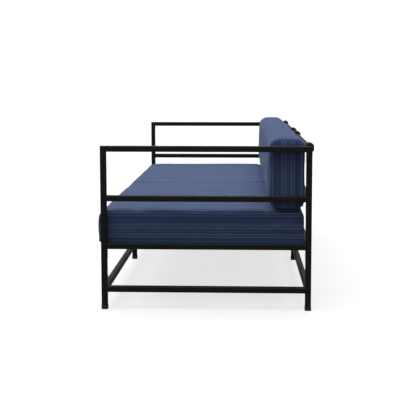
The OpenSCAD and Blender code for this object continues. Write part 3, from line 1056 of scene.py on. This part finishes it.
    def lay_stripes(self, form: bpy.types.Object) -> None:
        """Maps the cloth: across the stripes in u, along them in v, both in metres."""
        mesh = form.data
        panel = np.empty(len(mesh.polygons))
        mesh.attributes["end_panel"].data.foreach_get("value", panel)
        totals = np.empty(len(mesh.polygons), dtype=np.int64)
        mesh.polygons.foreach_get("loop_total", totals)
        at_end = np.repeat(panel > 0.5, totals)
        place = points_of(mesh)[face_corners(mesh)]
        across, along = place[:, 0].copy(), place[:, 1] + place[:, 2]
        _, high = self.sewn_box()
        if self.kind is Kind.SEAT:
            end_across, end_along = high.z - place[:, 2], place[:, 1]
        else:
            end_across, end_along = place[:, 1] - self.low.y, place[:, 2]
        across[at_end] = end_across[at_end] + self.end_stripe_start
        along[at_end] = end_along[at_end]
        map_cloth(mesh, across, along)

    def build(self, finishes: Finishes) -> None:
        """Makes the left and the right cushion and dresses them."""
        form = self.grid()
        self.inflate(form)
        self.sew(form)
        twin = copy_of(form, Matrix.Scale(-1.0, 4, Vector((1.0, 0.0, 0.0))))
        face_outwards(twin)
        for side, piece, seed in (("left", form, self.seed), ("right", twin, self.seed + 1)):
            name = self.kind.value
            self.pucker(piece, seed)
            self.lay_stripes(piece)
            settle(piece, f"{name}_cushion_{side}_sewn_cover")
            bpy.ops.object.shade_smooth()
            finishes.dress(piece, "cushion_fabric")
            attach(piece, f"{name}_cushion_{side}")
            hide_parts(f"{name}_cover_{side}")
            LOG.info("%s: %d faces", piece.name, len(piece.data.polygons))


def seat_cushion() -> Cushion:
    """The seat cushion's own sizes."""
    return Cushion(
        kind=Kind.SEAT,
        crown=Crown(top=10.0 * MM, front=11.0 * MM, rear=1.0 * MM, powers=(30.0, 8.0, 2.4)),
        seam_drop=6.0 * MM, seam_front=-5.0 * MM, seam_rear=-2.0 * MM, seam_lift=-0.6 * MM,
        corner_radius=(24.0 * MM, 22.0 * MM, 6.0 * MM, 7.0 * MM),
        cell=9.5 * MM, pressure=3.0, frames=16, fill=0.8, seed=11, end_reach=3.2 * MM, rest_gap=-0.6 * MM,
    )


def back_cushion() -> Cushion:
    """The back cushion's own sizes."""
    return Cushion(
        kind=Kind.BACK,
        crown=Crown(top=17.0 * MM, front=8.5 * MM, rear=1.0 * MM, bottom=11.0 * MM, powers=(40.0, 3.0, 4.0)),
        seam_drop=10.0 * MM, seam_front=1.0 * MM, seam_rear=-2.5 * MM, seam_lift=12.0 * MM,
        corner_radius=(16.0 * MM, 24.0 * MM, 26.0 * MM, 18.0 * MM),
        cell=9.5 * MM, pressure=4.0, frames=16, fill=0.75, seed=31, end_reach=0.5 * MM, rest_gap=0.3 * MM,
        end_stripe_start=8.0 * MM,
    )


# -------------------------------------------------------------------- zips
@dataclass
class Stitch:
    """One visible thread of a stitched row."""

    length: float = 2.6 * MM
    width: float = 0.55 * MM
    height: float = 0.35 * MM
    bevel_share: float = 0.4

    def form(self) -> bpy.types.Object:
        """A stitch along X at the origin, as a bar with bevelled edges."""
        size = (self.length, self.height, self.width)
        return bevelled_bar("stitch", size, self.height * self.bevel_share, segments=1)

    def row(self, start: Vector, count: int, pitch: float) -> bpy.types.Object:
        """A row of stitches along X.

        Args:
            start: The first stitch's middle.
            count: How many stitches there are.
            pitch: The distance from one stitch to the next.

        Returns:
            The row as one object.
        """
        row = self.form()
        row.data.transform(Matrix.Translation(start))
        repeat_along_x(row, count, pitch)
        return row


@dataclass
class Zip:
    """A coil zip with its tape, teeth, stitching and end stops, on a cushion's rear."""

    kind: Kind
    side: str
    tape_thickness: float = 0.5 * MM
    tape_bevel: float = 0.18 * MM
    tooth_pitch: float = 2.5 * MM
    tooth_share: float = 0.62
    tooth_thickness: float = 0.45 * MM
    tooth_length: float = 5.0 * MM
    tooth_bevel: float = 0.16 * MM
    tooth_lean: float = 9.0
    teeth_inset: float = 8.0 * MM
    raised: float = 0.2 * MM
    stop_size: tuple[float, float, float] = (3.0 * MM, 0.5 * MM, 6.4 * MM)
    stop_inset: float = 4.0 * MM
    stitch_pitch: float = 3.6 * MM
    stitch_inset: float = 2.0 * MM
    stitch_raised: float = 0.08 * MM
    row_start: float = 5.0 * MM
    row_spare: float = 8.0 * MM
    low: Vector = field(init=False)
    high: Vector = field(init=False)

    def __post_init__(self) -> None:
        """Reads the zip's box from the frame."""
        self.low, self.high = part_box(f"{self.kind.value}_zip_{self.side}")

    def length(self) -> float:
        """The tape's length."""
        return self.high.x - self.low.x

    def on_tape(self, x: float, raised: float) -> Vector:
        """A place on the tape's middle line, some way off its outer face."""
        return Vector((x, self.low.y + self.tape_thickness + raised, middle(self.low, self.high).z))

    def tape(self) -> bpy.types.Object:
        """The flat tape, which lies against the cushion."""
        size = (self.length(), self.tape_thickness, self.high.z - self.low.z)
        tape = bevelled_bar("tape", size, self.tape_bevel, segments=2)
        place = middle(self.low, self.high)
        place.y = self.low.y + self.tape_thickness / 2.0
        tape.data.transform(Matrix.Translation(place))
        return tape

    def teeth(self) -> bpy.types.Object:
        """The coil's row of teeth, each leaning a little."""
        count = int((self.length() - 2.0 * self.teeth_inset) / self.tooth_pitch)
        size = (self.tooth_pitch * self.tooth_share, self.tooth_thickness, self.tooth_length)
        tooth = bevelled_bar("tooth", size, self.tooth_bevel, segments=1)
        tooth.data.transform(Matrix.Rotation(math.radians(self.tooth_lean), 4, "Y"))
        start = self.on_tape(self.low.x + self.teeth_inset, self.raised)
        tooth.data.transform(Matrix.Translation(start))
        repeat_along_x(tooth, count, self.tooth_pitch)
        return tooth

    def stops(self) -> list[bpy.types.Object]:
        """The two metal end stops."""
        made = []
        for x in (self.low.x + self.stop_inset, self.high.x - self.stop_inset):
            stop = bevelled_bar("stop", self.stop_size, self.tape_bevel, segments=2)
            stop.data.transform(Matrix.Translation(self.on_tape(x, self.raised)))
            made.append(stop)
        return made

    def stitching(self) -> list[bpy.types.Object]:
        """A row of stitches along each edge of the tape."""
        count = int((self.length() - self.row_spare) / self.stitch_pitch)
        start = self.on_tape(self.low.x + self.row_start, self.stitch_raised)
        rows = []
        for z in (self.low.z + self.stitch_inset, self.high.z - self.stitch_inset):
            rows.append(Stitch().row(Vector((start.x, start.y, z)), count, self.stitch_pitch))
        return rows

    def build(self, finishes: Finishes) -> None:
        """Makes the zip and dresses it."""
        name = f"{self.kind.value}_zip_{self.side}"
        body = f"{self.kind.value}_cushion_{self.side}"
        tape = join([self.tape(), *self.stitching()], f"{name}_tape")
        coil = join([self.teeth(), *self.stops()], f"{name}_teeth")
        for piece, slot in ((tape, "zip_tape"), (coil, "zip_metal")):
            map_strip(piece)
            smooth(piece)
            finishes.dress(piece, slot)
            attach(piece, body)
        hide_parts(name)
        LOG.info("%s: tape and %d faces of teeth", name, len(coil.data.polygons))


@dataclass
class ZipSlider:
    """A zip's slider: a waisted body, a bridge over it and a hanging pull with sunk faces."""

    kind: Kind
    side: str
    body_length: float = 14.0 * MM
    body_thickness: float = 1.3 * MM
    body_width: float = 9.0 * MM
    body_bevel: float = 0.35 * MM
    body_cuts: int = 3
    waist: float = 0.72
    waist_place: float = 0.85
    bridge_radius: float = 3.2 * MM
    bridge_wire: float = 0.55 * MM
    bridge_flat: float = 0.6
    bridge_place: tuple[float, float, float] = (0.0, 0.75 * MM, -1.6 * MM)
    pull_radius: float = 2.5 * MM
    pull_thickness: float = 0.9 * MM
    pull_rim: float = 0.7 * MM
    pull_dish: float = 0.2 * MM
    pull_bevel: float = 0.15 * MM
    pull_drop: float = 1.0 * MM
    pull_raised: float = 1.0 * MM
    sharp: float = 40.0
    low: Vector = field(init=False)
    high: Vector = field(init=False)

    def __post_init__(self) -> None:
        """Reads the slider's box from the frame."""
        self.low, self.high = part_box(f"{self.kind.value}_zip_slider_{self.side}")

    def plate(self) -> bpy.types.Object:
        """The waisted body with softened edges."""
        deselect()
        size = (self.body_length, self.body_thickness, self.body_width)
        bpy.ops.mesh.primitive_cube_add(size=1.0, scale=size)
        plate = settle(bpy.context.object, "plate")
        bpy.ops.object.mode_set(mode="EDIT")
        bpy.ops.mesh.select_all(action="SELECT")
        bpy.ops.mesh.subdivide(number_cuts=self.body_cuts)
        bpy.ops.object.mode_set(mode="OBJECT")
        points = points_of(plate.data)
        share = points[:, 0] / self.body_length + 0.5
        waisted = np.abs(np.cos(math.pi * share * self.waist_place))
        points[:, 2] *= self.waist + (1.0 - self.waist) * waisted
        set_points(plate.data, points)
        soften(plate, self.body_bevel, segments=3, degrees=self.sharp)
        return plate

    def bridge(self) -> bpy.types.Object:
        """The low bridge that holds the pull."""
        deselect()
        bpy.ops.mesh.primitive_torus_add(
            major_segments=24, minor_segments=8, major_radius=self.bridge_radius,
            minor_radius=self.bridge_wire, rotation=(math.pi / 2, 0.0, 0.0))
        ring = settle(bpy.context.object, "bridge")
        ring.data.transform(Matrix.Scale(self.bridge_flat, 4, Vector((0.0, 1.0, 0.0))))
        ring.data.transform(Matrix.Translation(self.bridge_place))
        return ring

    def pull(self) -> bpy.types.Object:
        """The flat hanging pull with round ends and both its faces sunk inside a rim."""
        deselect()
        bpy.ops.mesh.primitive_cylinder_add(
            vertices=24, radius=self.pull_radius, depth=self.pull_thickness,
            rotation=(math.pi / 2, 0.0, 0.0))
        pull = settle(bpy.context.object, "pull")
        points = points_of(pull.data)
        hanging = self.high.z - self.low.z - self.body_width
        points[points[:, 2] < 0, 2] -= hanging - 2.0 * self.pull_radius
        set_points(pull.data, points)
        choose(pull, "FACE", [len(face.vertices) > 4 for face in pull.data.polygons])
        bpy.ops.mesh.inset(thickness=self.pull_rim, use_individual=True)
        bpy.ops.mesh.extrude_faces_move(TRANSFORM_OT_shrink_fatten={"value": -self.pull_dish})
        bpy.ops.object.mode_set(mode="OBJECT")
        soften(pull, self.pull_bevel, segments=2, degrees=self.sharp)
        drop = self.body_width / 2.0 + self.pull_drop
        pull.data.transform(Matrix.Translation((0.0, self.pull_raised, -drop)))
        return pull

    def build(self, finishes: Finishes) -> None:
        """Makes the slider and dresses it."""
        name = f"{self.kind.value}_zip_slider_{self.side}"
        centre = middle(self.low, self.high)
        centre.y = self.low.y + self.body_thickness / 2.0
        centre.z = self.high.z - self.body_width / 2.0
        slider = join([self.plate(), self.bridge(), self.pull()], f"{name}_metal")
        slider.data.transform(Matrix.Translation(centre))
        smooth(slider)
        finishes.dress(slider, "zip_metal")
        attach(slider, f"{self.kind.value}_slider_{self.side}")
        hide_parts(name)
        LOG.info("%s: slider with its pull", name)


# ------------------------------------------------------------------- straps
@dataclass
class Strap:
    """A webbing strap wound once round the back's top rail, with its tail folded behind and on top."""

    place: str
    thickness: float = 2.0 * MM
    layer: float = 2.1 * MM
    clear: float = 1.3 * MM
    step: float = 1.2 * MM
    bend_points: int = 9
    fold_points: int = 7
    start_height: float = 3.0 * MM
    fold_insets: tuple[float, float, float, float] = (4.0 * MM, 5.0 * MM, 6.0 * MM, 3.0 * MM)
    tail_inset: float = 9.0 * MM
    tail_layers: float = 4.3
    cells_across: int = 6
    sway: float = 0.7 * MM
    sway_phases: tuple[float, float] = (0.5, 11.0)
    edge_radius: float = 0.6 * MM
    low: Vector = field(init=False)
    high: Vector = field(init=False)

    def __post_init__(self) -> None:
        """Reads the strap's box from the frame."""
        self.low, self.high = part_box(f"strap_{self.place}")

    def turn(self, centre: tuple[float, float], angles: tuple[float, float],
             layers: tuple[int, int]) -> np.ndarray:
        """A bend of the strap round a point.

        Args:
            centre: The point, as y and z.
            angles: Where the bend starts and ends, in degrees from the rear, upwards.
            layers: The layers that it starts and ends in.

        Returns:
            Rows of y and z.
        """
        angle = np.radians(np.linspace(*angles, self.bend_points))
        reach = self.clear + self.layer * np.linspace(*layers, self.bend_points)
        return np.array(centre) + np.stack((np.cos(angle), np.sin(angle)), axis=1) * reach[:, None]

    def fold(self, place: tuple[float, float], angles: tuple[float, float]) -> np.ndarray:
        """A tight fold from one layer to the next, round its own middle."""
        angle = np.radians(np.linspace(*angles, self.fold_points))
        return np.array(place) + np.stack((np.cos(angle), np.sin(angle)), axis=1) * self.layer / 2.0

    def middle_line(self) -> np.ndarray:
        """The strap's middle line: once round the rail, then to and fro in layers.

        Returns:
            Rows of y and z, evenly spaced along the strap.
        """
        low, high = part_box("back_top_rail")
        rear_top, front_top = (high.y, high.z), (low.y, high.z)
        rear_foot, front_foot = (high.y, low.z), (low.y, low.z)
        between = self.clear + self.layer / 2.0
        over, behind = high.z + between, high.y + between
        first, second, third, fourth = self.fold_insets
        wound = (
            np.array([[high.y + self.clear, low.z + self.start_height]]),
            self.turn(rear_top, (0.0, 90.0), (0, 0)),
            self.turn(front_top, (90.0, 180.0), (0, 0)),
            self.turn(front_foot, (180.0, 270.0), (0, 0)),
            self.turn(rear_foot, (-90.0, 0.0), (0, 1)),
        )
        tail = (
            self.turn(rear_top, (0.0, 90.0), (1, 1)),
            self.fold((low.y + first, over + self.layer), (270.0, 90.0)),
            self.turn(rear_top, (90.0, 0.0), (2, 2)),
            self.fold((behind + 2 * self.layer, low.z + second), (180.0, 360.0)),
            self.turn(rear_top, (0.0, 90.0), (3, 3)),
            self.fold((low.y + third, over + 3 * self.layer), (270.0, 90.0)),
            self.fold((high.y - fourth, over + 4 * self.layer), (-90.0, 90.0)),
            np.array([[low.y + self.tail_inset, over + self.tail_layers * self.layer]]),
        )
        fine = np.vstack(wound + tail)
        reached = np.concatenate(([0.0], np.cumsum(np.linalg.norm(np.diff(fine, axis=0), axis=1))))
        even = np.linspace(0.0, reached[-1], round(reached[-1] / self.step))
        return np.stack([np.interp(even, reached, fine[:, i]) for i in (0, 1)], axis=1)

    def band(self) -> bpy.types.Object:
        """The woven band laid along the middle line, swaying a little from side to side."""
        path = self.middle_line()
        width = self.high.x - self.low.x
        last = len(path) - 1
        deselect()
        bpy.ops.mesh.primitive_grid_add(x_subdivisions=self.cells_across, y_subdivisions=last, size=1.0)
        band = bpy.context.object
        share = points_of(band.data) + 0.5
        row = np.rint(share[:, 1] * last).astype(int)
        sway = np.sin(np.linspace(*self.sway_phases, last + 1)) * self.sway
        points = np.empty_like(share)
        points[:, 0] = self.low.x + share[:, 0] * width + sway[row]
        points[:, 1:] = path[row]
        set_points(band.data, points)
        length = np.linalg.norm(np.diff(path, axis=0), axis=1).sum()
        corners = face_corners(band.data)
        map_cloth(band.data, share[corners, 0] * width, share[corners, 1] * length)
        return band

    def build(self, finishes: Finishes) -> None:
        """Makes the strap and dresses it."""
        band = settle(self.band(), f"strap_{self.place}_webbing")
        wall = band.modifiers.new("wall", "SOLIDIFY")
        wall.thickness = self.thickness
        wall.offset = 0.0
        soften(band, self.edge_radius, segments=3, degrees=50.0)
        face_outwards(band)
        smooth(band, degrees=45.0)
        finishes.dress(band, "webbing")
        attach(band, "frame")
        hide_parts(f"strap_{self.place}")
        LOG.info("strap %s: %d faces", self.place, len(band.data.polygons))


# -------------------------------------------------------------------- welds
@dataclass
class Weld:
    """A coated weld bead along the inside corner between two tubes."""

    radius: float = 2.3 * MM
    length: float = 22.0 * MM
    ripple: float = 2.4 * MM
    ripple_share: float = 0.10
    sides: int = 10
    rings_per_ripple: float = 2.0
    end_power: float = 6.0
    end_share: float = 0.05

    def bead(self) -> bpy.types.Object:
        """One bead along X at the origin, rippled and tapered to both ends."""
        deselect()
        bpy.ops.mesh.primitive_cylinder_add(
            vertices=self.sides, radius=self.radius, depth=self.length, rotation=(0.0, math.pi / 2, 0.0))
        bead = settle(bpy.context.object, "bead")
        ends = [[bead.data.vertices[v].co.x for v in edge.vertices] for edge in bead.data.edges]
        choose(bead, "EDGE", [abs(start - end) > self.length / 2.0 for start, end in ends])
        bpy.ops.mesh.subdivide(number_cuts=int(self.rings_per_ripple * self.length / self.ripple))
        bpy.ops.object.mode_set(mode="OBJECT")
        points = points_of(bead.data)
        off_middle = 2.0 * points[:, 0] / self.length
        wave = np.cos(2.0 * math.pi * points[:, 0] / self.ripple)
        rippled = 1.0 - self.ripple_share * (1.0 - wave)
        taper = np.sqrt(np.clip(1.0 - off_middle ** self.end_power, self.end_share, 1.0))
        points[:, 1:] *= (rippled * taper)[:, None]
        set_points(bead.data, points)
        bpy.ops.object.shade_smooth()
        return bead

    def ring(self, name: str) -> Iterator[tuple[Vector, str]]:
        """The four welds of a rail that runs front to rear, above and below both its ends."""
        low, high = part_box(name)
        for y in (low.y, high.y):
            for z in (low.z, high.z):
                yield Vector((middle(low, high).x, y, z)), "X"

    def pair(self, name: str, above: bool) -> Iterator[tuple[Vector, str]]:
        """The weld at each end of a piece, on its upper or its lower face."""
        low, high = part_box(name)
        for x in (low.x, high.x):
            yield Vector((x, middle(low, high).y, high.z if above else low.z)), "Y"

    def corners(self) -> Iterator[tuple[Vector, str]]:
        """The middle of each welded corner and the axis that it runs along."""
        for side in ("left", "right"):
            for rail in ("arm_lower_rail", "seat_end_rail", "foot_rail"):
                yield from self.ring(f"{side}_{rail}")
            low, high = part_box(f"{side}_arm_top_rail")
            inner_low, inner_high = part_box(f"{side}_arm_lower_rail")
            for y in (inner_low.y, inner_high.y):
                yield Vector((middle(low, high).x, y, low.z)), "X"
        yield from self.ring("middle_foot_rail")
        low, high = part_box("middle_seat_rail")
        for y in (low.y, high.y):
            for x in (low.x, high.x):
                yield Vector((x, y, middle(low, high).z)), "Z"
        for rail in ("front_seat_rail", "rear_seat_rail", "back_lower_rail", "back_top_rail"):
            yield from self.pair(rail, above=False)
        for place in ("front", "rear"):
            for side in ("left", "right"):
                yield from self.pair(f"{place}_stretcher_{side}", above=True)
            yield from self.pair(f"middle_{place}_leg", above=True)
        for post in ("back_post_lower", "back_post_upper"):
            yield from self.pair(post, above=False)
            yield from self.pair(post, above=True)

    def build(self, finishes: Finishes) -> None:
        """Lays every bead and dresses them as part of the frame."""
        turns = {
            "X": Matrix.Identity(4),
            "Y": Matrix.Rotation(math.pi / 2, 4, "Z"),
            "Z": Matrix.Rotation(math.pi / 2, 4, "Y"),
        }
        bead = self.bead()
        beads = [copy_of(bead, Matrix.Translation(place) @ turns[axis]) for place, axis in self.corners()]
        bpy.data.objects.remove(bead)
        welds = join(beads, "frame_weld_beads")
        finishes.dress(welds, "frame_coat")
        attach(welds, "frame")
        LOG.info("frame welds: %d beads", len(beads))


def main() -> None:
    """Builds the studio, the finishes and every piece in order."""
    logging.basicConfig(level=logging.INFO, format="%(name)s: %(message)s")
    Studio().build()
    finishes = Finishes()
    finishes.dress_frame()
    Weld().build(finishes)
    for cushion in (seat_cushion(), back_cushion()):
        cushion.build(finishes)
    for kind in Kind:
        for side in ("left", "right"):
            Zip(kind, side).build(finishes)
            ZipSlider(kind, side).build(finishes)
    for place in ("outer_left", "inner_left", "inner_right", "outer_right"):
        Strap(place).build(finishes)


if __name__ == "__main__":
    main()
